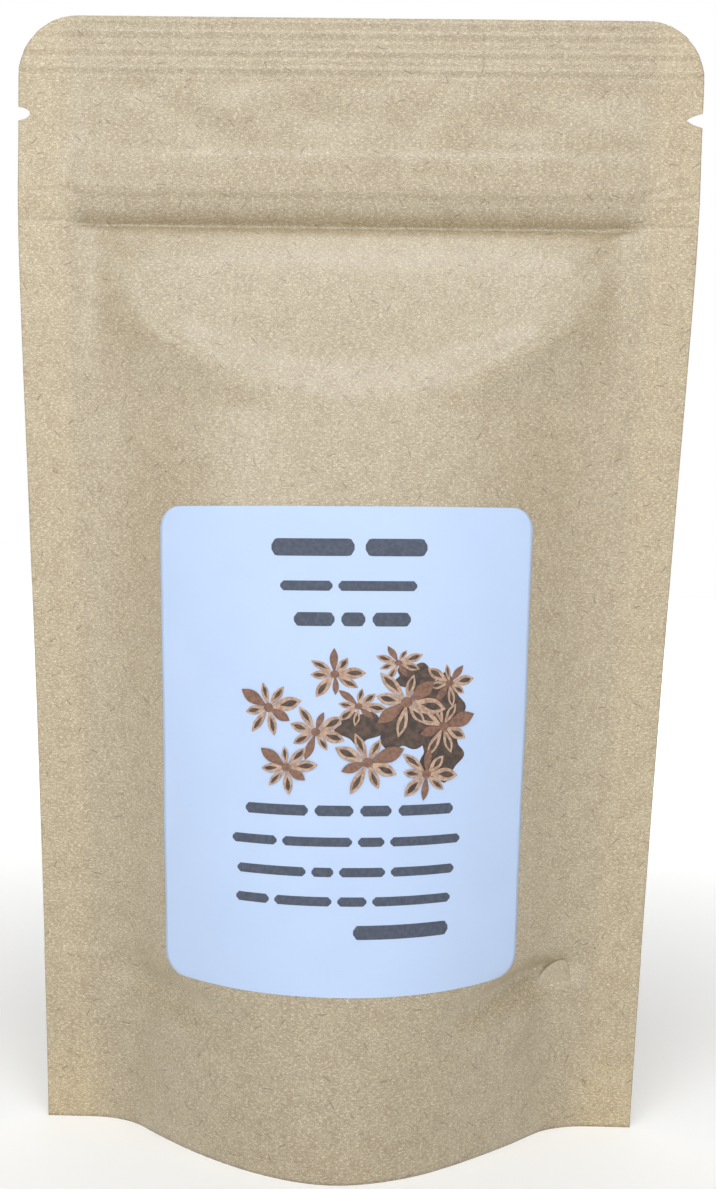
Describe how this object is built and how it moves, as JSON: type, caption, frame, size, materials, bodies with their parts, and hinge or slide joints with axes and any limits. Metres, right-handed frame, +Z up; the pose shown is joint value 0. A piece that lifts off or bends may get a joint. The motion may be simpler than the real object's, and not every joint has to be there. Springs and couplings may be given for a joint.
{
  "type": "stand-up pouch",
  "caption": "Filled kraft paper stand-up pouch, zipped and heat-sealed shut, with a gusset to stand on and a blank-style white label on its front.",
  "frame": {"origin": "middle of the bounding box on the ground that the pouch stands on", "axes": "+Z up along the pouch's height, -Y out of the labelled front, +X to the right of someone facing it"},
  "size_m": [0.15, 0.06, 0.2457],
  "materials": {
    "kraft_paper": "natural brown kraft with a faint satin sheen and dark fibres",
    "label_paper": "smooth matt white label stock with soft printed shapes"
  },
  "bodies": {
    "root": {"pouch": "kraft_paper", "label": "label_paper"}
  },
  "joints": []
}
